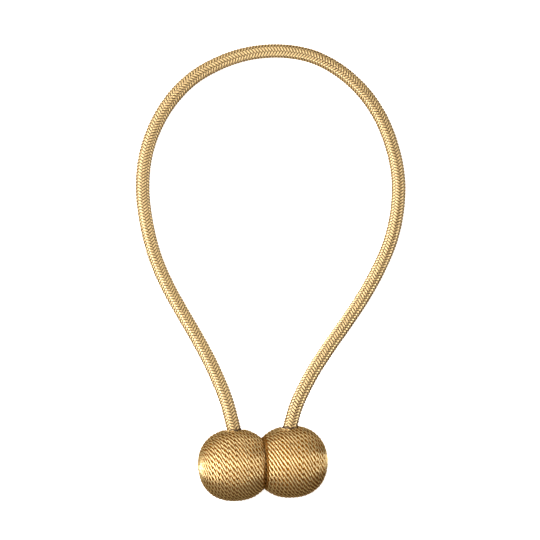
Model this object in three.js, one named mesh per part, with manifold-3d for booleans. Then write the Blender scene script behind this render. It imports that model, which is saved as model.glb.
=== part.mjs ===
// A magnetic curtain tieback, lying flat: one braided cord bent into a loop, whose two ends run into
// a pair of thread-wound balls that hold each other face to face.
// Millimetres. X runs along the pair of balls, Y towards the top of the loop, and Z up from the
// surface that it lies on. The origin is under the middle of the pair.
import * as THREE from "three";
import { mergeVertices } from "three/addons/utils/BufferGeometryUtils.js";
import Module from "manifold-3d";

const wasm = await Module();
wasm.setup();

// Driving dimensions
const cordDiameter = 7.2;
const ballRadius = 18; // to the crests of the wound thread
const widestToFace = 13.9; // from a ball's widest ring to its flat face
const outerReach = 18.3; // from its widest ring to its outer end, where the winding closes
const pairTurn = THREE.MathUtils.degToRad(2.8); // the pair lies a little askew to the loop
const flatDepth = 0.6; // how much of a ball is pressed flat where it rests
const fitGap = 0.3; // between pieces that touch
const socketGap = 0.4; // around the cord's end in a ball
const outlinePower = 2.25; // of a ball's rounded outline: 2 is an ellipse, more is fuller
const threadRelief = 0.35; // depth of the groove between two turns

// Fineness of the surfaces
const ballSides = 40;
const cordSides = 12;
const cordSteps = 80;

// turns is of thread, from a ball's face to its outer end
const balls = [
  { name: "left_ball", side: -1, turns: 24 },
  { name: "right_ball", side: 1, turns: 22 },
];

// The cord's middle line, from inside the left ball round the loop to inside the right one.
// It leaves each ball level, comes down, and then lies on the surface.
const cordRoute = [
  [-12.9, 10.9, 17.4],
  [-14.9, 18.9, 17.4],
  [-18.4, 31.9, 16.8],
  [-24.4, 46.9, 14.4],
  [-31.4, 60.9, 11.2],
  [-38.9, 74.4, 7.8],
  [-46.4, 88.4, 5],
  [-52.4, 102.9, 3.65],
  [-56.4, 118.4, 3.65],
  [-58.4, 134.4, 3.65],
  [-57.4, 150.4, 3.65],
  [-52.9, 165.4, 3.65],
  [-44.9, 179.4, 3.65],
  [-33.9, 190.9, 3.65],
  [-20.4, 198.9, 3.65],
  [-5.4, 203.9, 3.65],
  [10.6, 205.4, 3.65],
  [26.6, 202.9, 3.65],
  [40.6, 195.9, 3.65],
  [52.6, 185.4, 3.65],
  [61.6, 172.4, 3.65],
  [67.6, 157.4, 3.65],
  [70.6, 141.9, 3.65],
  [70.1, 125.9, 3.65],
  [66.6, 110.4, 3.65],
  [60.1, 95.4, 3.8],
  [52.1, 81.9, 5.6],
  [43.1, 69.4, 8.6],
  [33.6, 56.9, 12.2],
  [24.6, 43.9, 15.7],
  [17.1, 29.9, 18.3],
  [13.6, 18.9, 19],
  [11.1, 10.9, 19],
].map(([x, y, z]) => new THREE.Vector3(x, y, z));

const cordFinish = new THREE.MeshStandardMaterial({
  color: 0xd8b06a,
  roughness: 0.45,
  metalness: 0,
});
const threadFinish = new THREE.MeshStandardMaterial({
  color: 0xc2934e,
  roughness: 0.4,
  metalness: 0,
});

// A mesh as a solid in the part's frame.
function solidOf(mesh) {
  const bare = mesh.geometry.clone().applyMatrix4(mesh.matrixWorld);
  bare.deleteAttribute("normal");
  bare.deleteAttribute("uv");
  const merged = mergeVertices(bare);
  return new wasm.Manifold(
    new wasm.Mesh({
      numProp: 3,
      vertProperties: merged.attributes.position.array,
      triVerts: new Uint32Array(merged.index.array),
    }),
  );
}

// The mesh's geometry with the other meshes cut out of it, still in its own frame.
function cutBy(mesh, cutters) {
  let solid = solidOf(mesh);
  for (const cutter of cutters) solid = solid.subtract(solidOf(cutter));
  const { vertProperties, triVerts } = solid.getMesh();
  const geometry = new THREE.BufferGeometry();
  geometry.setAttribute("position", new THREE.BufferAttribute(vertProperties, 3));
  geometry.setIndex(new THREE.BufferAttribute(triVerts, 1));
  geometry.applyMatrix4(mesh.matrixWorld.clone().invert());
  geometry.computeVertexNormals();
  return geometry;
}

// A tube with closed ends along a curve. flatRadius is from its middle to its flat sides, one of
// which faces down where the curve lies level.
function tube(curve, flatRadius, steps) {
  const cornerRadius = flatRadius / Math.cos(Math.PI / cordSides);
  const corners = Array.from({ length: cordSides }, (_, i) => {
    const angle = ((i + 0.5) / cordSides) * 2 * Math.PI;
    return new THREE.Vector2(cornerRadius * Math.cos(angle), cornerRadius * Math.sin(angle));
  });
  return new THREE.ExtrudeGeometry(new THREE.Shape(corners), {
    extrudePath: curve,
    steps,
    bevelEnabled: false,
  });
}

// Half of a ball's outline, from the middle of its flat face to its outer end, as radius and
// distance from the face. It is a superellipse about the widest ring, and each turn of thread on it
// is a groove and then a crest.
function woundOutline(turns) {
  const faceShare = Math.pow(widestToFace / outerReach, outlinePower / 2);
  const faceAngle = Math.acos(-faceShare);
  const halfTurns = 2 * turns;
  const outline = [new THREE.Vector2(0, 0)];
  for (let i = 0; i < halfTurns; i++) {
    const angle = faceAngle * (1 - i / halfTurns);
    const cosine = Math.cos(angle);
    const along = outerReach * Math.sign(cosine) * Math.pow(Math.abs(cosine), 2 / outlinePower);
    const radius = ballRadius * Math.pow(Math.sin(angle), 2 / outlinePower);
    const isGroove = i > 0 && i % 2 === 0;
    const shrink = isGroove ? 1 - threadRelief / Math.hypot(along, radius) : 1;
    outline.push(new THREE.Vector2(radius * shrink, along * shrink + widestToFace));
  }
  outline.push(new THREE.Vector2(0, outerReach + widestToFace));
  return outline;
}

// One ball, its axis along X and its flat face half a gap from the pair's middle.
function makeBall({ name, side, turns }) {
  const winding = new THREE.LatheGeometry(woundOutline(turns), ballSides);
  const ball = new THREE.Mesh(winding, threadFinish);
  ball.name = name;
  ball.position.x = (side * fitGap) / 2;
  ball.rotation.z = (-side * Math.PI) / 2;
  return ball;
}

// The hole in a ball for the end of the cord that starts at one route point and leaves by the next.
function makeSocket(end, exit) {
  const outward = exit.clone().sub(end).normalize();
  const bottom = end.clone().addScaledVector(outward, -socketGap);
  const mouth = exit.clone().addScaledVector(outward, cordDiameter);
  const axis = new THREE.LineCurve3(bottom, mouth);
  return new THREE.Mesh(tube(axis, cordDiameter / 2 + socketGap, 1));
}

// Everything below the surface, under both balls.
function makeGround() {
  const width = 6 * ballRadius;
  const ground = new THREE.Mesh(new THREE.BoxGeometry(width, width, ballRadius));
  ground.position.z = -ballRadius / 2;
  ground.updateMatrixWorld();
  return ground;
}

const cord = new THREE.Mesh(
  tube(new THREE.CatmullRomCurve3(cordRoute, false, "catmullrom", 0.5), cordDiameter / 2, cordSteps),
  cordFinish,
);
cord.name = "braided_cord";

const pair = new THREE.Group();
const [leftBall, rightBall] = balls.map(makeBall);
pair.position.z = ballRadius - flatDepth;
pair.rotation.z = pairTurn;
pair.add(leftBall, rightBall);

const tieback = new THREE.Group();
tieback.add(cord, pair);
tieback.updateMatrixWorld(true);

const ground = makeGround();
leftBall.geometry = cutBy(leftBall, [ground, makeSocket(cordRoute.at(0), cordRoute.at(1))]);
rightBall.geometry = cutBy(rightBall, [ground, makeSocket(cordRoute.at(-1), cordRoute.at(-2))]);

export default tieback;
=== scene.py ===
"""A magnetic curtain tieback, lying flat: a braided cord bent into a loop, and two thread-wound balls.

Metres. X runs along the pair of balls, Y towards the top of the loop, and Z up from the floor.
"""

import math
from collections import namedtuple
from types import SimpleNamespace

import bpy
import numpy as np
from bpy.props import FloatProperty, FloatVectorProperty, IntProperty, PointerProperty
from bpy.types import Operator, Panel, PropertyGroup
from mathutils import Matrix, Vector


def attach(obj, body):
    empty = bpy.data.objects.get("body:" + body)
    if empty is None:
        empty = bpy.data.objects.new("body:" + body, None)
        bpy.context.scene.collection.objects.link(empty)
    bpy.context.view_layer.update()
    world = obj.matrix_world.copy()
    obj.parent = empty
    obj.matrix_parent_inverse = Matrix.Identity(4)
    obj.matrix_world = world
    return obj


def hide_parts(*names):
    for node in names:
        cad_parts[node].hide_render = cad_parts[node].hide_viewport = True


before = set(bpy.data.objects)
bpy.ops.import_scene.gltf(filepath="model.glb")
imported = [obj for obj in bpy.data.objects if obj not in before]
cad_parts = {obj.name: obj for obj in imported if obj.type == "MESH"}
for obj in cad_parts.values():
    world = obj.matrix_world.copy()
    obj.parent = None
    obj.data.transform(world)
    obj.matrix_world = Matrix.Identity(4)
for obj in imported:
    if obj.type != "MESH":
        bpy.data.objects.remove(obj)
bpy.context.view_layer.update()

bl_info = {
    "name": "Magnetic curtain tieback",
    "version": (1, 0, 0),
    "blender": (4, 5, 0),
    "location": "3D View > Sidebar > Tieback",
    "description": "Makes a loop of braided cord and the two wound balls at its ends",
    "category": "Add Mesh",
}

# The cord's middle line, from inside the left ball round the loop to inside the right one
CORD_ROUTE = np.array(
    [
        (-0.0129, 0.0109, 0.0174),
        (-0.0149, 0.0189, 0.0174),
        (-0.0184, 0.0319, 0.0168),
        (-0.0244, 0.0469, 0.0144),
        (-0.0314, 0.0609, 0.0112),
        (-0.0389, 0.0744, 0.0078),
        (-0.0464, 0.0884, 0.005),
        (-0.0524, 0.1029, 0.00365),
        (-0.0564, 0.1184, 0.00365),
        (-0.0584, 0.1344, 0.00365),
        (-0.0574, 0.1504, 0.00365),
        (-0.0529, 0.1654, 0.00365),
        (-0.0449, 0.1794, 0.00365),
        (-0.0339, 0.1909, 0.00365),
        (-0.0204, 0.1989, 0.00365),
        (-0.0054, 0.2039, 0.00365),
        (0.0106, 0.2054, 0.00365),
        (0.0266, 0.2029, 0.00365),
        (0.0406, 0.1959, 0.00365),
        (0.0526, 0.1854, 0.00365),
        (0.0616, 0.1724, 0.00365),
        (0.0676, 0.1574, 0.00365),
        (0.0706, 0.1419, 0.00365),
        (0.0701, 0.1259, 0.00365),
        (0.0666, 0.1104, 0.00365),
        (0.0601, 0.0954, 0.0038),
        (0.0521, 0.0819, 0.0056),
        (0.0431, 0.0694, 0.0086),
        (0.0336, 0.0569, 0.0122),
        (0.0246, 0.0439, 0.0157),
        (0.0171, 0.0299, 0.0183),
        (0.0136, 0.0189, 0.019),
        (0.0111, 0.0109, 0.019),
    ]
)
# How far the braid's ribs have turned round the cord, in degrees, at lengths along it
RIB_TURNS = np.array(
    [
        (0.0, -84),
        (0.1, -86),
        (0.13, -103),
        (0.2, -114),
        (0.24, -127),
        (0.3, -140),
        (0.49, -142),
    ]
)
BODY = "root"
UP = np.array([0.0, 0.0, 1.0])
TURN = 2 * math.pi
MILLIMETRES = 1000
UV_NAME = "along_thread"
CREST = "crest"

# The cord
ROUTE_STEPS = 40  # points of its curve for each span of the route
STRAND_SIDES = 6
STEPS_PER_RIB = 12
RIB_SHARPNESS = 1.4  # of a strand's wave over and under the others: more is squarer
STRAND_EASE = 1.2  # how much a strand's gloss follows the roundness of the cord
PAINTED_SHADE_ENDS = (0.0057, 0.0067)  # lengths of its two ends painted in shade, for the dark where it goes into a ball
PAINTED_SHADE_EDGE = 0.0008  # length over which that painted shade fades
CORE_SIDES = 16
CORE_SHARE = 0.62  # of the cord's width, for its inner tube

# The balls
OUTLINE_POINTS = 4001
POINTS_PER_TURN = 400
HOLE_STEPS = 400
PRESS_REACH = 4  # height that is squeezed where a ball rests, in depths pressed flat
BALL_CORE_SIDES = 96
BALL_CORE_INSET = 0.0012  # from a ball's outline in to its inner form
BALL_CORE_STEP = 40  # outline points from one ring of the inner form to the next

# Their thread
THREAD_END_LIFT = {"left_ball": 0.0002, "right_ball": -0.0006}  # it stands up, or is tucked in
THREAD_END_RADIUS = 0.0009  # from the axis to where the last turn closes
THREAD_TIP_RADIUS = THREAD_END_RADIUS / 4
PAINTED_HIGHLIGHT_END = 0.0075  # radius round the outer end in which the thread is painted pale, a painted highlight
STEPS_PER_TWIST = 12
PLY_SIDES = 6
PLY_EASE = 0.6  # how much a ply's gloss follows the roundness of the ball
THIRD_HARMONIC = 1 / 9  # its share in a ply's swing to the sides
FILAMENT_SLIP = 0.5  # how much the filaments keep to the thread's own direction
TWIST_SEED = 5
TWIST_UNEVEN = 0.16  # most that the twist is out at the front of a turn, as a share of a twist
FACE_PAINTED_SHADE = 0.0004  # from the rim of the face to where the thread's painted shade ends
FACE_PAINTED_LIGHT = 0.6  # painted light on the thread at that rim, less than full for painted shade

# Where the thread parts round the cord
HOLE_RADIUS = 0.0042
HOLE_EASE = 0.15  # softness of the hole's edge
HOLE_REACH = 0.0092  # width of the bell curve by which turns farther off move less
HOLE_RIM = 0.0005  # width of the bell curve by which thread beside the cord is pressed in
HOLE_PRESS = 0.0009  # how far it is pressed in, and the depth at which its painted shade is full

# Each satin's crests where its colour is painted shade and where pale, its roughness there, its metallic
# share and other gloss
CORD_SATIN = SimpleNamespace(crests=(0.38, 0.7), roughness=(0.95, 0.38), metallic=0.45, gloss=0.7)
THREAD_SATIN = SimpleNamespace(crests=(0.45, 0.97), roughness=(0.6, 0.33), metallic=0.7, gloss=0.25)

# What both satins share
SATIN_GLOSS = {
    "IOR": 2.2,
    "Specular Tint": (1, 0.92, 0.68, 1),
    "Sheen Weight": 0.1,
    "Sheen Roughness": 0.3,
    "Sheen Tint": (1, 0.45, 0.08, 1),
    "Anisotropic": 1,
    "Anisotropic Rotation": 0.25,
}
FILAMENT_STRETCH = (0.6, 16, 1)  # of the noise, along a thread and round it
FILAMENT_NOISE = {"Scale": 1, "Detail": 2}
FILAMENT_BUMP = {"Strength": 0.25, "Distance": 0.00005}
FILAMENT_ROUGHNESS = 0.12
STREAK_NOISE = (0.3, 0.65)
STREAK_TINTS = ((0.78, 0.74, 0.68, 1), (1, 1, 1, 1))
MATT_FINISH = {"Roughness": 1, "Specular IOR Level": 0}

# Sockets of a colour mix, by number because several share a name
MIX_FIRST_COLOUR = 6
MIX_SECOND_COLOUR = 7
MIX_RESULT = 2

# The floor, and the dim warm light that the threads' gloss sees in its place
FLOOR_SIZE = 6
FLOOR_PAINT = {
    "Roughness": 0.9,
    "Specular IOR Level": 0.1,
    "Emission Color": (1, 1, 1, 1),
    "Emission Strength": 0.6,
}
FLOOR_IN_GLOSS = SimpleNamespace(
    colour=(1, 0.82, 0.48, 1),
    towards=(-0.5, 1, 0),
    reach=(-0.3, 0.6),
    strength=(0.2, 0.7),
)

# The light from all round
ROOM_LIGHT = SimpleNamespace(
    colour=(1, 0.85, 0.65, 1),
    towards=(-0.7, 0.1, 0.7),
    reach=(-0.8, 1),
    strength=(0, 0.9),
)

# The soft lamps, and how far towards the balls and above the floor they are aimed
Lamp = namedtuple("Lamp", "name place width height watts diffuse glossy")
LAMPS = (
    Lamp("left_softbox", (-1.0, -0.08, 0.38), 1.6, 0.65, 40, diffuse=False, glossy=True),
    Lamp("main_softbox", (-0.5, 0.4, 0.95), 0.7, 0.7, 21, diffuse=True, glossy=False),
    Lamp("back_softbox", (-0.6, 1.0, 0.15), 0.9, 0.25, 5, diffuse=False, glossy=True),
    Lamp("top_softbox", (-0.15, 0.05, 1.2), 0.5, 0.5, 7, diffuse=True, glossy=True),
    Lamp("right_softbox", (0.9, -0.08, 0.3), 0.9, 0.3, 10, diffuse=False, glossy=True),
)
LAMP_COLOUR = (1, 0.99, 0.97)
LAMP_AIM_FORWARD = 0.04
LAMP_AIM_HEIGHT = 0.01


class CordSizes(PropertyGroup):
    """Sizes of the braided cord."""

    diameter: FloatProperty(
        name="Diameter",
        description="Across the braided cord",
        default=0.0072,
        subtype="DISTANCE",
    )
    strands: IntProperty(
        name="Strands each way",
        description="Strands that run round the cord in each direction",
        default=8,
    )
    passed: IntProperty(
        name="Strands passed",
        description="How many strands a strand lies over before it goes under as many",
        default=2,
    )
    stitch: FloatProperty(
        name="Stitch",
        description="Length along the cord from one stitch to the next",
        default=0.001525,
        subtype="DISTANCE",
    )
    strand_width: FloatProperty(
        name="Strand width",
        description="Across one strand of the braid",
        default=0.0012,
        subtype="DISTANCE",
    )
    strand_thickness: FloatProperty(
        name="Strand thickness",
        description="Through one strand of the braid",
        default=0.001,
        subtype="DISTANCE",
    )


class BallSizes(PropertyGroup):
    """Sizes of the two wound balls."""

    radius: FloatProperty(
        name="Radius",
        description="From a ball's axis to the crests of its thread",
        default=0.018,
        subtype="DISTANCE",
    )
    widest_to_face: FloatProperty(
        name="Widest ring to face",
        description="From a ball's widest ring to its flat face",
        default=0.0139,
        subtype="DISTANCE",
    )
    outer_reach: FloatProperty(
        name="Outer reach",
        description="From a ball's widest ring to its outer end",
        default=0.0183,
        subtype="DISTANCE",
    )
    fit_gap: FloatProperty(
        name="Gap",
        description="Between the two faces",
        default=0.0003,
        subtype="DISTANCE",
    )
    pair_turn: FloatProperty(
        name="Pair turn",
        description="How far the pair lies askew to the loop",
        default=math.radians(2.8),
        subtype="ANGLE",
    )
    pressed: FloatProperty(
        name="Pressed flat",
        description="How much of a ball is pressed flat where it rests",
        default=0.0006,
        subtype="DISTANCE",
    )
    outline_power: FloatProperty(
        name="Outline power",
        description="Roundness of the outline: 2 is an ellipse, more is fuller",
        default=2.25,
    )
    left_turns: IntProperty(
        name="Turns, left",
        description="Turns of thread from the left ball's face to its outer end",
        default=24,
    )
    right_turns: IntProperty(
        name="Turns, right",
        description="Turns of thread from the right ball's face to its outer end",
        default=22,
    )
    plies: IntProperty(
        name="Plies",
        description="Yarns that are twisted together in the thread",
        default=2,
    )
    twist: FloatProperty(
        name="Twist",
        description="Length of thread in which its plies go once round",
        default=0.0056,
        subtype="DISTANCE",
    )
    ply_radius: FloatProperty(
        name="Ply radius",
        description="From a ply's middle to its surface",
        default=0.00051,
        subtype="DISTANCE",
    )
    ply_spread: FloatProperty(
        name="Ply spread",
        description="How far a ply swings to each side, as a share of the distance between two turns",
        default=0.41,
    )
    ply_rise: FloatProperty(
        name="Ply rise",
        description="From the thread's middle to the middle of a ply on top of it",
        default=0.00038,
        subtype="DISTANCE",
    )


class Finishes(PropertyGroup):
    """Colours of the threads."""

    cord_pale: FloatVectorProperty(
        name="Cord, crests",
        description="Colour of the braid where it stands out most",
        default=(0.655, 0.465, 0.215),
        subtype="COLOR",
    )
    # Painted shade: the dark colour put in the braid's crevices, on its strands' sides and on its inner tube
    cord_painted_shade: FloatVectorProperty(
        name="Cord, crevices",
        description="Colour of the braid deep between its strands",
        default=(0.06, 0.02, 0.002),
        subtype="COLOR",
    )
    thread_pale: FloatVectorProperty(
        name="Thread, crests",
        description="Colour of the wound thread where it stands out most",
        default=(0.9, 0.72, 0.38),
        subtype="COLOR",
    )
    # Painted shade: the dark colour put in the wound thread's crevices and on the balls' inner forms
    thread_painted_shade: FloatVectorProperty(
        name="Thread, crevices",
        description="Colour of the wound thread deep between its turns",
        default=(0.265, 0.102, 0.008),
        subtype="COLOR",
    )
    floor: FloatVectorProperty(
        name="Floor",
        description="Colour of the floor",
        default=(0.93, 0.93, 0.93),
        subtype="COLOR",
    )


class StageSizes(PropertyGroup):
    """Place of the camera and what its picture shows."""

    target: FloatVectorProperty(
        name="Target",
        description="What the middle of the picture shows",
        default=(0.00554, 0.09583, 0.00355),
        subtype="TRANSLATION",
    )
    distance: FloatProperty(
        name="Camera distance",
        description="From the camera to the target",
        default=1.6,
        subtype="DISTANCE",
    )
    lean: FloatProperty(
        name="Camera lean",
        description="How far the camera stands to the left of straight above",
        default=math.radians(8),
        subtype="ANGLE",
    )
    picture_width: FloatProperty(
        name="Picture width",
        description="Width of what the picture shows, at the target",
        default=0.27,
        subtype="DISTANCE",
    )


def unit(vectors):
    """The vectors, each divided by its own length."""
    return vectors / np.linalg.norm(vectors, axis=-1, keepdims=True)


def lengths_along(curve):
    """The length walked along a curve of points, up to each of them."""
    steps = np.linalg.norm(np.diff(curve, axis=0), axis=1)
    return np.concatenate([[0.0], np.cumsum(steps)])


def smooth_curve(points, per_span):
    """Uniform Catmull-Rom curve: on each span the cubic whose slope at a point is half the chord between
    its two neighbours. The first and last spans borrow a neighbour mirrored through the end point."""
    before = 2 * points[0] - points[1]
    after = 2 * points[-1] - points[-2]
    padded = np.vstack([before, points, after])
    p0, p1, p2, p3 = (padded[i : i + len(points) - 1, None] for i in range(4))
    t = np.linspace(0, 1, per_span, endpoint=False)[None, :, None]
    linear = (p2 - p0) * t
    square = (2 * p0 - 5 * p1 + 4 * p2 - p3) * t**2
    cube = (3 * p1 - p0 - 3 * p2 + p3) * t**3
    spans = 0.5 * (2 * p1 + linear + square + cube)
    return np.vstack([spans.reshape(-1, 3), points[-1:]])


def sampled(values, at, new_at):
    """Columns of values given at some lengths, read off at new lengths by straight interpolation."""
    return np.stack([np.interp(new_at, at, column) for column in values.T], axis=1)


def level_frame(path):
    """Two directions across a path at each point: upward is straight up less its share along the path, and
    sideward is the path's direction crossed with upward."""
    ahead = unit(np.gradient(path, axis=0))
    upward = unit(UP - (ahead @ UP)[:, None] * ahead)
    return upward, np.cross(ahead, upward)


def tube_rings(paths, outward, half_width, half_height, sides):
    """Rings of points round paths. A ring is an ellipse across its path, with half_height along outward (less
    its share along the path) and half_width across that."""
    ahead = unit(np.gradient(paths, axis=1))
    share = np.sum(outward * ahead, axis=-1, keepdims=True)
    high = unit(outward - share * ahead)
    wide = np.cross(ahead, high)
    turn = (np.arange(sides)[:, None] + 0.5) / sides * TURN
    sideways = half_width * np.cos(turn) * wide[:, :, None]
    upwards = half_height * np.sin(turn) * high[:, :, None]
    return paths[:, :, None] + sideways + upwards


def wall_corners(values):
    """Values of the rings, at the four corners of each face from a ring to the next: the ring's own, the
    next one's twice, and its own again."""
    return np.stack([values[:, :-1], values[:, 1:], values[:, 1:], values[:, :-1]], axis=-1)


def tube_mesh(name, rings, along, crest, facing=None, slip=0.0):
    """A mesh of closed tubes: four-sided faces join each ring to the next, and one flat face closes each
    end. The map has the length along a tube in millimetres, and the share of the way round it plus how far
    its filaments have slipped round it. Facing is the direction that each point's gloss follows."""
    count, steps, sides = rings.shape[:3]
    index = np.arange(count * steps * sides).reshape(count, steps, sides)
    beside = np.roll(index, -1, axis=2)
    walls = np.stack([index[:, :-1], index[:, 1:], beside[:, 1:], beside[:, :-1]], axis=-1)
    ends = np.stack([index[:, 0], index[:, -1, ::-1]], axis=1)
    corners = np.concatenate([walls.ravel(), ends.ravel()])
    starts = np.concatenate(
        [np.arange(0, walls.size, 4), np.arange(walls.size, corners.size, sides)]
    )

    mesh = bpy.data.meshes.new(name)
    mesh.vertices.add(index.size)
    mesh.vertices.foreach_set("co", rings.ravel())
    mesh.loops.add(corners.size)
    mesh.loops.foreach_set("vertex_index", corners)
    mesh.polygons.add(starts.size)
    mesh.polygons.foreach_set("loop_start", starts)
    mesh.update(calc_edges=True)
    mesh.shade_smooth()

    reach = np.broadcast_to(along * MILLIMETRES, (count, steps))
    ahead = np.repeat(wall_corners(reach)[:, :, None], sides, axis=2)
    side = np.arange(sides)
    slipped = wall_corners(np.broadcast_to(slip, (count, steps)))
    around = np.stack([side, side, side + 1, side + 1], axis=-1) / sides + slipped[:, :, None]
    end_ahead = np.repeat(reach[:, [0, -1]].ravel(), sides)
    end_around = np.tile(side / sides, 2 * count)
    places = np.stack(
        [
            np.concatenate([ahead.ravel(), end_ahead]),
            np.concatenate([around.ravel(), end_around]),
        ],
        axis=-1,
    )
    layer = mesh.uv_layers.new(name=UV_NAME)
    layer.data.foreach_set("uv", places.ravel().astype(np.float32))
    height = mesh.attributes.new(CREST, "FLOAT", "POINT")
    height.data.foreach_set("value", np.clip(crest, 0, 1).ravel().astype(np.float32))
    if facing is not None:
        mesh.normals_split_custom_set_from_vertices(facing.reshape(-1, 3))
    return mesh


def add_piece(mesh, material, node):
    """An object of the mesh with the given material, that rides on the part's body and hides the part's solid
    that it stands for.
    """
    mesh.materials.append(material)
    piece = bpy.data.objects.new(mesh.name, mesh)
    bpy.context.collection.objects.link(piece)
    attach(piece, BODY)
    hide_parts(node)
    return piece


def braid_strands(path, along, sizes, way):
    """The strands of a braid that run one way. In the ribs' own frame strand i is at the angle of its share
    of the circle, plus or minus a turn for each lay along the cord. Its radius is the middle radius plus or
    minus a lift, by a rounded square wave of that angle, so that it lies over some strands and under as many.
    Its crest is how squarely it faces out, but no more than its height; a low crest takes the painted shade
    colour, so the strands' sides and the gaps between them are painted darker. The crest fades to painted
    shade where the cord goes into a ball."""
    lay = sizes.stitch * sizes.strands
    ribs = sizes.strands // sizes.passed
    column = TURN / (2 * sizes.strands)
    lift = sizes.strand_thickness / 2
    middle = (sizes.diameter - sizes.strand_thickness) / 2 - lift

    start = np.arange(sizes.strands)[:, None] * 2 * column + column / 2
    angle = start + way * TURN * along / lay
    wave = np.tanh(RIB_SHARPNESS * np.sin(ribs * angle)) / math.tanh(RIB_SHARPNESS)
    radius = middle + way * lift * wave
    turned = angle + np.radians(np.interp(along, *RIB_TURNS.T))
    upward, sideward = level_frame(path)
    outward = np.cos(turned)[..., None] * upward + np.sin(turned)[..., None] * sideward
    centres = path + radius[..., None] * outward
    rings = tube_rings(
        centres, outward, sizes.strand_width / 2, sizes.strand_thickness / 2, STRAND_SIDES
    )
    reach = np.linalg.norm(rings - path[:, None], axis=-1)
    own = unit(rings - centres[:, :, None])
    level = np.einsum("ksvx,ksx->ksv", own, outward)
    # Painted shade: the ends inside the balls are painted dark, and a low crest takes the dark colour of the
    # crevices
    from_ends = np.minimum(along - PAINTED_SHADE_ENDS[0], along[-1] - PAINTED_SHADE_ENDS[1] - along)
    shade = np.clip(from_ends / PAINTED_SHADE_EDGE, 0, 1)
    crest = np.minimum((reach - middle) / (sizes.diameter / 2 - middle), level) * shade[:, None]
    facing = unit(own + STRAND_EASE * outward[:, :, None])
    return rings, crest, facing


def inner_tube(name, path, along, sizes):
    """A round tube in the dark painted shade colour that fills the gaps in the braid with painted shade, with
    a ring for each rib.
    """
    middle = path[::STEPS_PER_RIB]
    upward, _ = level_frame(middle)
    radius = CORE_SHARE * sizes.diameter / 2
    rings = tube_rings(middle[None], upward[None], radius, radius, CORE_SIDES)
    return tube_mesh(name, rings, along[::STEPS_PER_RIB], np.zeros(rings.shape[:3]))


class TIEBACK_OT_lay_cord(Operator):
    """Lay the braided cord along its route"""

    bl_idname = "tieback.lay_cord"
    bl_label = "Lay the braided cord"

    def execute(self, context):
        sizes = context.scene.tieback_cord
        finishes = context.scene.tieback_finishes
        curve = smooth_curve(CORD_ROUTE, ROUTE_STEPS)
        reach = lengths_along(curve)
        step = sizes.stitch * sizes.passed / STEPS_PER_RIB
        along = np.linspace(0, reach[-1], round(reach[-1] / step))
        path = sampled(curve, reach, along)

        satin = satin_thread("braid_satin", finishes.cord_pale, finishes.cord_painted_shade, CORD_SATIN)
        for name, way in (("braid_right", 1), ("braid_left", -1)):
            rings, crest, facing = braid_strands(path, along, sizes, way)
            mesh = tube_mesh(name, rings, along, crest, facing)
            add_piece(mesh, satin, "braided_cord")

        # Painted shade: the inner tube takes the crevices' dark colour, without gloss
        shade = matt_painted_shade("braid_shade", finishes.cord_painted_shade)
        mesh = inner_tube("braid_core", path, along, sizes)
        core = add_piece(mesh, shade, "braided_cord")

        return {"FINISHED"}


def ball_outline(sizes, inset):
    """Half of a ball's outline as distance from the face and radius: a superellipse about the widest ring,
    moved in square to itself by inset, from the face to the outer end."""
    angle = np.linspace(math.pi, 0, OUTLINE_POINTS)
    power = 2 / sizes.outline_power
    cosine = np.cos(angle)
    away = sizes.outer_reach * np.sign(cosine) * np.abs(cosine) ** power + sizes.widest_to_face
    radius = sizes.radius * np.abs(np.sin(angle)) ** power
    slope = unit(np.stack([-np.gradient(radius), np.gradient(away)], axis=1))
    outline = np.stack([away, radius], axis=1) - inset * slope
    return outline[(outline[:, 0] >= inset) & (outline[:, 1] > 0)]


class Ball:
    """One ball: where it lies in the pair, its turns, how its thread ends, and the end of the cord in it."""

    def __init__(self, sizes, name):
        is_left = name == "left_ball"
        self.side = -1 if is_left else 1
        self.turns = sizes.left_turns if is_left else sizes.right_turns
        self.end_lift = THREAD_END_LIFT[name]
        self.end = CORD_ROUTE[0] if is_left else CORD_ROUTE[-1]
        leave = CORD_ROUTE[1] if is_left else CORD_ROUTE[-2]
        self.cord_way = unit(leave - self.end)
        turn = sizes.pair_turn
        self.axis = np.array([math.cos(turn), math.sin(turn), 0.0])
        self.back = np.array([-math.sin(turn), math.cos(turn), 0.0])
        self.contact = np.array([0.0, 0.0, sizes.radius - sizes.pressed])
        self.gap = sizes.fit_gap / 2

    def place(self, away, radius, angle):
        """A point at a distance from the face, at a radius and an angle from straight up."""
        across = np.cos(angle)[..., None] * UP + np.sin(angle)[..., None] * self.back
        along = (self.side * (away + self.gap))[..., None] * self.axis
        return self.contact + along + radius[..., None] * across

    def hole(self, sizes):
        """The distance from the face and the angle where the cord's middle line leaves the ball: where the
        superellipse's sum of powers reaches one along that line."""
        steps = np.linspace(0, sizes.radius, HOLE_STEPS)
        points = self.end + steps[:, None] * self.cord_way - self.contact
        away = self.side * (points @ self.axis) - self.gap
        high = points @ UP
        back = points @ self.back
        size = (np.abs(away - sizes.widest_to_face) / sizes.outer_reach) ** sizes.outline_power
        size += (np.hypot(high, back) / sizes.radius) ** sizes.outline_power
        at = np.interp(1.0, size, steps)
        angle = math.atan2(np.interp(at, steps, back), np.interp(at, steps, high))
        return np.interp(at, steps, away), angle


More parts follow.
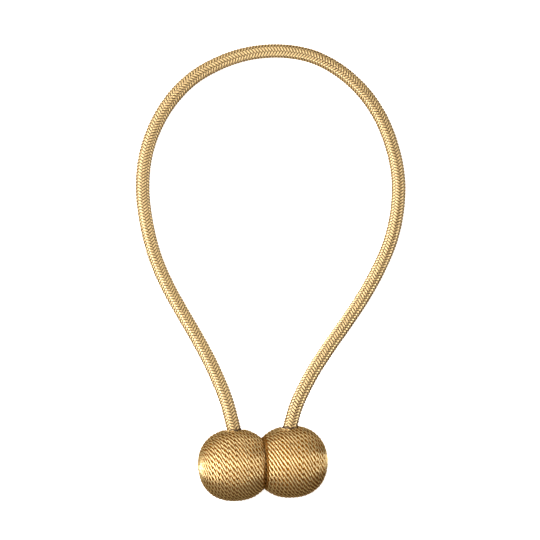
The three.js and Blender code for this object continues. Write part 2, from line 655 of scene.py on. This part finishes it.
def part_round_cord(points, ball):
    """How far points must move along the pair's axis to leave a round hole for the cord, and how far those
    next to it are pressed in under the others. A point at a distance a along the axis and b across it goes
    to the root of a squared plus the hole's radius squared less b squared, eased to nothing outside the
    hole and by a bell curve far from it. Points on the far side of the ball stay."""
    offset = points - ball.end
    ahead = offset @ ball.cord_way
    axis = unit(ball.axis - (ball.axis @ ball.cord_way) * ball.cord_way)
    a = offset @ axis
    b = offset @ np.cross(ball.cord_way, axis)
    room = HOLE_EASE * np.log1p(np.exp((1 - (b / HOLE_RADIUS) ** 2) / HOLE_EASE))
    room = room * np.clip(ahead / HOLE_RADIUS, 0, 1)
    widened = np.sqrt(a**2 + HOLE_RADIUS**2 * room)
    shift = (widened - np.abs(a)) * np.exp(-((a / HOLE_REACH) ** 2))
    beside = (np.abs(a) + shift - HOLE_RADIUS * np.sqrt(room)) / HOLE_RIM
    pressed = HOLE_PRESS * np.clip(room, 0, 1) * np.exp(-(beside**2))
    return np.where(a < 0, -shift, shift), pressed


def press_flat(points, sizes):
    """Presses the lowest points of a ball up to the floor: heights from its underside up to a few times the
    depth pressed flat are squeezed evenly into what is above the floor."""
    low = -sizes.pressed
    high = PRESS_REACH * sizes.pressed
    squeezed = (points[..., 2] - low) * high / (high - low)
    points[..., 2] = np.where(points[..., 2] < high, np.maximum(squeezed, 0), points[..., 2])
    return points


def wound_thread(ball, sizes):
    """The thread's middle line on a ball, with the outward direction at each point. It goes once round the
    rim of the face and then in even turns along the ball's outline to the outer end, where its end stands up
    or is tucked in. Its turns part round the cord. At the front of each turn the twist is at a whole ply,
    give or take a seeded share of a twist. Round the outer end a flat-topped bell curve of the radius gives a
    painted highlight, where the thread is painted pale. Painted shade darkens the thread at the rim of the
    face, and where it is pressed in beside the cord."""
    inset = sizes.ply_rise + sizes.ply_radius
    outline = ball_outline(sizes, inset)
    outline = outline[outline[:, 1] > THREAD_END_RADIUS]
    tip = [[outline[-1, 0] + ball.end_lift, THREAD_TIP_RADIUS]]
    outline = np.vstack([outline, tip])
    reach = lengths_along(outline)
    hole_away, hole_angle = ball.hole(sizes)
    pitch = reach[-1] / ball.turns
    turn_at_hole = np.interp(hole_away, outline[:, 0], reach) / pitch

    turn = np.linspace(-1, ball.turns, (ball.turns + 1) * POINTS_PER_TURN)
    slope = unit(np.stack([-np.gradient(outline[:, 1]), np.gradient(outline[:, 0])], axis=1))
    angle = hole_angle + math.pi + TURN * (turn - turn_at_hole)
    at = pitch * np.maximum(turn, 0)
    away, radius = sampled(outline, reach, at).T
    shift, pressed = part_round_cord(ball.place(away, radius, angle), ball)
    at = at + ball.side * shift
    away, radius, lean, rise = sampled(np.hstack([outline, slope]), reach, at).T
    surface = ball.place(away, radius, angle)
    outward = ball.place(away + lean, radius + rise, angle) - surface
    points = surface - pressed[:, None] * outward

    reach = lengths_along(points)
    step = sizes.twist / STEPS_PER_TWIST
    along = np.linspace(0, reach[-1], round(reach[-1] / step))
    fronts = np.arange(-1, ball.turns) + (turn_at_hole - 0.5 - hole_angle / TURN) % 1
    front = np.concatenate([[0.0], np.interp(fronts, turn, reach), reach[-1:]])
    twists = front / sizes.twist
    twists[1:-1] = np.round(twists[1:-1] * sizes.plies) / sizes.plies
    draws = np.random.default_rng([TWIST_SEED, ball.turns])
    twists[1:-1] += TWIST_UNEVEN * draws.uniform(-1, 1, len(fronts))
    twist = TURN * np.interp(along, front, twists)
    # Painted highlight: round the outer end the thread is painted pale
    smooth = np.interp(along, reach, np.exp(-((radius / PAINTED_HIGHLIGHT_END) ** 4)))
    # Painted shade: the thread is painted darker at the rim of the face and where it is pressed in beside the
    # cord
    painted_face_shade = np.clip(at / FACE_PAINTED_SHADE, FACE_PAINTED_LIGHT, 1)
    painted_light = np.interp(along, reach, painted_face_shade * (1 - pressed / HOLE_PRESS))
    return SimpleNamespace(
        path=sampled(points, reach, along),
        outward=sampled(outward, reach, along),
        along=along,
        twist=twist,
        smooth=smooth,
        painted_light=painted_light,
        pitch=pitch,
    )


def twisted_plies(thread, sizes):
    """The plies of a twisted thread: each runs round the thread's middle line by the angle of twist, to the
    left going up as in the letter S, and is a round tube. It rises by the cosine and swings sideways by a
    sine less a ninth of its third harmonic, which is nearly straight from side to side. Its crest is how
    squarely it faces out, but no more than its height over its radius; a low crest takes the painted shade
    colour. The crest is raised to pale by the painted highlight near the outer end, and lowered by the
    painted shade at the face's rim and beside the cord. Its filaments run nearly straight along the thread,
    so they slip round the ply by a share of its way sideways over its radius."""
    ahead = unit(np.gradient(thread.path, axis=0))
    outward = unit(thread.outward - np.sum(thread.outward * ahead, axis=1, keepdims=True) * ahead)
    across = np.cross(ahead, outward)
    start = np.arange(sizes.plies)[:, None] / sizes.plies * TURN
    angle = start - thread.twist
    swing = (np.sin(angle) - THIRD_HARMONIC * np.sin(3 * angle)) / (1 + THIRD_HARMONIC)
    sideways = sizes.ply_spread * thread.pitch * swing
    rise = sizes.ply_rise * np.cos(angle)
    centres = thread.path + rise[..., None] * outward + sideways[..., None] * across
    rings = tube_rings(centres, outward[None], sizes.ply_radius, sizes.ply_radius, PLY_SIDES)
    own = unit(rings - centres[:, :, None])
    level = np.einsum("ksvx,sx->ksv", own, outward)
    height = np.einsum("ksvx,sx->ksv", rings - thread.path[:, None], outward)
    # A low crest takes the painted shade colour; the painted highlight raises it to pale and the painted
    # shade lowers it
    crest = np.minimum(level, height / sizes.ply_radius)
    crest = (crest + (1 - crest) * thread.smooth[:, None]) * thread.painted_light[:, None]
    lengthwise = np.einsum("ksvx,sx->ksv", own, ahead)[..., None] * ahead[:, None]
    facing = unit(own - lengthwise + PLY_EASE * outward[:, None])
    return rings, crest, facing, -FILAMENT_SLIP * sideways / (TURN * sizes.ply_radius)


def winding(name, ball, sizes):
    """A ball's thread, wound, twisted and pressed flat where it rests."""
    thread = wound_thread(ball, sizes)
    rings, crest, facing, slip = twisted_plies(thread, sizes)
    return tube_mesh(name, press_flat(rings, sizes), thread.along, crest, facing, slip)


def inner_form(name, ball, sizes):
    """The form in the dark painted shade colour that fills the gaps in a ball's thread with painted shade:
    rings round its axis with the radius of its outline, moved in, and pressed flat where it rests."""
    away, radius = ball_outline(sizes, BALL_CORE_INSET)[::BALL_CORE_STEP].T
    middle = ball.place(away, 0 * away, 0 * away)
    high = np.broadcast_to(UP, middle.shape)
    thickness = radius[None, :, None, None]
    rings = tube_rings(middle[None], high[None], thickness, thickness, BALL_CORE_SIDES)
    return tube_mesh(name, press_flat(rings, sizes), away, np.zeros(rings.shape[:3]))


class TIEBACK_OT_wind_balls(Operator):
    """Wind the two balls with twisted thread"""

    bl_idname = "tieback.wind_balls"
    bl_label = "Wind the two balls"

    def execute(self, context):
        sizes = context.scene.tieback_balls
        finishes = context.scene.tieback_finishes
        satin = satin_thread("thread_satin", finishes.thread_pale, finishes.thread_painted_shade, THREAD_SATIN)
        # Painted shade: the inner forms take the crevices' dark colour, without gloss
        shade = matt_painted_shade("thread_shade", finishes.thread_painted_shade)
        for name in ("left_ball", "right_ball"):
            ball = Ball(sizes, name)
            add_piece(winding(name + "_winding", ball, sizes), satin, name)
            add_piece(inner_form(name + "_core", ball, sizes), shade, name)
        return {"FINISHED"}


def new_nodes(material):
    """The nodes of a new material, the function that links them, and the shader among them."""
    material.use_nodes = True
    nodes = material.node_tree.nodes
    return nodes, material.node_tree.links.new, nodes["Principled BSDF"]


def set_values(node, values):
    """Sets a node's inputs to constant values, by name."""
    for name, value in values.items():
        node.inputs[name].default_value = value


def colour_ramp(nodes, link, value, positions, colours):
    """A colour that goes evenly from one to another as a value goes from one position to another."""
    ramp = nodes.new("ShaderNodeValToRGB")
    for element, position, colour in zip(ramp.color_ramp.elements, positions, colours):
        element.position = position
        element.color = colour
    link(value, ramp.inputs["Fac"])
    return ramp.outputs["Color"]


def map_range(nodes, link, value, old, new):
    """A value moved evenly from an old range to a new one, and held at the new one's ends."""
    node = nodes.new("ShaderNodeMapRange")
    set_values(node, {"From Min": old[0], "From Max": old[1], "To Min": new[0], "To Max": new[1]})
    link(value, node.inputs["Value"])
    return node.outputs["Result"]


def graded_strength(nodes, link, place, light):
    """A light's strength, which grows with the dot product of a place and the way that it is graded."""
    share = nodes.new("ShaderNodeVectorMath")
    share.operation = "DOT_PRODUCT"
    share.inputs[1].default_value = light.towards
    link(place, share.inputs[0])
    return map_range(nodes, link, share.outputs["Value"], light.reach, light.strength)


def satin_thread(name, pale, deep, satin):
    """Glossy thread with painted shade: the dark colour in the crevices and the pale on the crests follow the
    crest attribute. Streaks run along the thread and fine filaments are in its bump and its gloss."""
    material = bpy.data.materials.new(name)
    nodes, link, shader = new_nodes(material)
    attribute = nodes.new("ShaderNodeAttribute")
    attribute.attribute_name = CREST
    crest = attribute.outputs["Fac"]
    # Painted shade: a low crest gives the dark colour of the crevices, a high one the pale colour
    painted_shade_ramp = colour_ramp(nodes, link, crest, satin.crests, ((*deep, 1), (*pale, 1)))

    where = nodes.new("ShaderNodeUVMap")
    where.uv_map = UV_NAME
    stretch = nodes.new("ShaderNodeMapping")
    stretch.inputs["Scale"].default_value = FILAMENT_STRETCH
    link(where.outputs["UV"], stretch.inputs["Vector"])
    noise = nodes.new("ShaderNodeTexNoise")
    set_values(noise, FILAMENT_NOISE)
    link(stretch.outputs["Vector"], noise.inputs["Vector"])
    filaments = noise.outputs["Fac"]

    streak = nodes.new("ShaderNodeMix")
    streak.data_type = "RGBA"
    streak.blend_type = "MULTIPLY"
    streak.inputs["Factor"].default_value = 1
    tint = colour_ramp(nodes, link, filaments, STREAK_NOISE, STREAK_TINTS)
    link(painted_shade_ramp, streak.inputs[MIX_FIRST_COLOUR])
    link(tint, streak.inputs[MIX_SECOND_COLOUR])
    link(streak.outputs[MIX_RESULT], shader.inputs["Base Color"])

    uneven = nodes.new("ShaderNodeMath")
    uneven.operation = "MULTIPLY_ADD"
    uneven.inputs[1].default_value = FILAMENT_ROUGHNESS
    link(filaments, uneven.inputs[0])
    link(map_range(nodes, link, crest, satin.crests, satin.roughness), uneven.inputs[2])
    link(uneven.outputs["Value"], shader.inputs["Roughness"])

    bump = nodes.new("ShaderNodeBump")
    set_values(bump, FILAMENT_BUMP)
    link(filaments, bump.inputs["Height"])
    link(bump.outputs["Normal"], shader.inputs["Normal"])
    tangent = nodes.new("ShaderNodeTangent")
    tangent.direction_type = "UV_MAP"
    tangent.uv_map = UV_NAME
    link(tangent.outputs["Tangent"], shader.inputs["Tangent"])
    set_values(shader, {"Metallic": satin.metallic, "Specular IOR Level": satin.gloss})
    set_values(shader, SATIN_GLOSS)
    return material


def matt_painted_shade(name, colour):
    """Painted shade: plain dull colour without gloss, for what shows between the threads."""
    material = bpy.data.materials.new(name)
    _, _, shader = new_nodes(material)
    shader.inputs["Base Color"].default_value = (*colour, 1)
    set_values(shader, MATT_FINISH)
    return material


def floor_finish(colour):
    """Matt pale paint that glows a little. The gloss of the threads sees a dim warm light in its place, which
    grows towards the back left."""
    material = bpy.data.materials.new("pale_floor")
    nodes, link, shader = new_nodes(material)
    shader.inputs["Base Color"].default_value = (*colour, 1)
    set_values(shader, FLOOR_PAINT)
    where = nodes.new("ShaderNodeNewGeometry")
    strength = graded_strength(nodes, link, where.outputs["Position"], FLOOR_IN_GLOSS)
    dim = nodes.new("ShaderNodeEmission")
    dim.inputs["Color"].default_value = FLOOR_IN_GLOSS.colour
    link(strength, dim.inputs["Strength"])
    ray = nodes.new("ShaderNodeLightPath")
    mix = nodes.new("ShaderNodeMixShader")
    link(ray.outputs["Is Glossy Ray"], mix.inputs["Fac"])
    link(shader.outputs["BSDF"], mix.inputs[1])
    link(dim.outputs["Emission"], mix.inputs[2])
    link(mix.outputs["Shader"], nodes["Material Output"].inputs["Surface"])
    return material


def studio_room():
    """Warm light from all round that grows towards the upper left."""
    room = bpy.data.worlds.new("studio")
    room.use_nodes = True
    nodes = room.node_tree.nodes
    link = room.node_tree.links.new
    where = nodes.new("ShaderNodeTexCoord")
    strength = graded_strength(nodes, link, where.outputs["Generated"], ROOM_LIGHT)
    light = nodes["Background"]
    light.inputs["Color"].default_value = ROOM_LIGHT.colour
    link(strength, light.inputs["Strength"])
    return room


def add_camera(scene, sizes):
    """A camera that leans to the left of straight above its target, with Y up in the picture. Its lens is the
    sensor's width times the distance over the picture's width."""
    towards = Vector((-math.sin(sizes.lean), 0, math.cos(sizes.lean)))
    right = Vector((0, 1, 0)).cross(towards)
    camera = bpy.data.cameras.new("camera")
    camera.lens = camera.sensor_width * sizes.distance / sizes.picture_width
    holder = bpy.data.objects.new("camera", camera)
    turn = Matrix((right, (0, 1, 0), towards)).transposed()
    place = Matrix.Translation(Vector(sizes.target) + sizes.distance * towards)
    holder.matrix_world = place @ turn.to_4x4()
    bpy.context.collection.objects.link(holder)
    scene.camera = holder


def add_floor(colour):
    """A large level square that the part lies on. Diffuse light does not come back from it."""
    bpy.ops.mesh.primitive_plane_add(size=FLOOR_SIZE, location=(0, 0, 0))
    floor = bpy.context.active_object
    floor.name = "floor"
    floor.data.materials.append(floor_finish(colour))
    floor.visible_diffuse = False


def add_lamp(lamp, aim):
    """A soft rectangular lamp turned towards a point. It can be left out of the diffuse light or of the
    gloss."""
    light = bpy.data.lights.new(lamp.name, "AREA")
    light.shape = "RECTANGLE"
    light.size = lamp.width
    light.size_y = lamp.height
    light.energy = lamp.watts
    light.color = LAMP_COLOUR
    holder = bpy.data.objects.new(lamp.name, light)
    holder.location = lamp.place
    holder.rotation_euler = (aim - Vector(lamp.place)).to_track_quat("-Z", "Y").to_euler()
    holder.visible_camera = False
    holder.visible_diffuse = lamp.diffuse
    holder.visible_glossy = lamp.glossy
    bpy.context.collection.objects.link(holder)


class TIEBACK_OT_set_stage(Operator):
    """Set up the camera, the floor and the lamps"""

    bl_idname = "tieback.set_stage"
    bl_label = "Set the stage"

    def execute(self, context):
        scene = context.scene
        sizes = scene.tieback_stage
        add_camera(scene, sizes)
        add_floor(scene.tieback_finishes.floor)
        aim = Vector((sizes.target[0], sizes.target[1] - LAMP_AIM_FORWARD, LAMP_AIM_HEIGHT))
        for lamp in LAMPS:
            add_lamp(lamp, aim)

        scene.world = studio_room()
        scene.world.cycles_visibility.glossy = False
        scene.view_settings.view_transform = "Standard"
        return {"FINISHED"}


class TIEBACK_PT_panel(Panel):
    """Sizes, colours and steps of the tieback"""

    bl_idname = "TIEBACK_PT_panel"
    bl_label = "Curtain tieback"
    bl_space_type = "VIEW_3D"
    bl_region_type = "UI"
    bl_category = "Tieback"

    def draw(self, context):
        for group, step in STEPS:
            box = self.layout.box()
            settings = getattr(context.scene, group)
            for name in settings.__annotations__:
                box.prop(settings, name)
            if step is not None:
                box.operator(step.bl_idname)


GROUPS = {
    "tieback_stage": StageSizes,
    "tieback_cord": CordSizes,
    "tieback_balls": BallSizes,
    "tieback_finishes": Finishes,
}
STEPS = (
    ("tieback_stage", TIEBACK_OT_set_stage),
    ("tieback_cord", TIEBACK_OT_lay_cord),
    ("tieback_balls", TIEBACK_OT_wind_balls),
    ("tieback_finishes", None),
)
CLASSES = (
    *GROUPS.values(),
    TIEBACK_OT_set_stage,
    TIEBACK_OT_lay_cord,
    TIEBACK_OT_wind_balls,
    TIEBACK_PT_panel,
)


def register():
    """Adds the classes, and their settings to the scene."""
    for made in CLASSES:
        bpy.utils.register_class(made)
    for name, group in GROUPS.items():
        setattr(bpy.types.Scene, name, PointerProperty(type=group))


def unregister():
    """Takes the settings and the classes away again."""
    for name in GROUPS:
        delattr(bpy.types.Scene, name)
    for made in reversed(CLASSES):
        bpy.utils.unregister_class(made)


def main():
    """Makes the stage, the cord and the balls."""
    register()
    bpy.ops.tieback.set_stage()
    bpy.ops.tieback.lay_cord()
    bpy.ops.tieback.wind_balls()


if __name__ == "__main__":
    main()
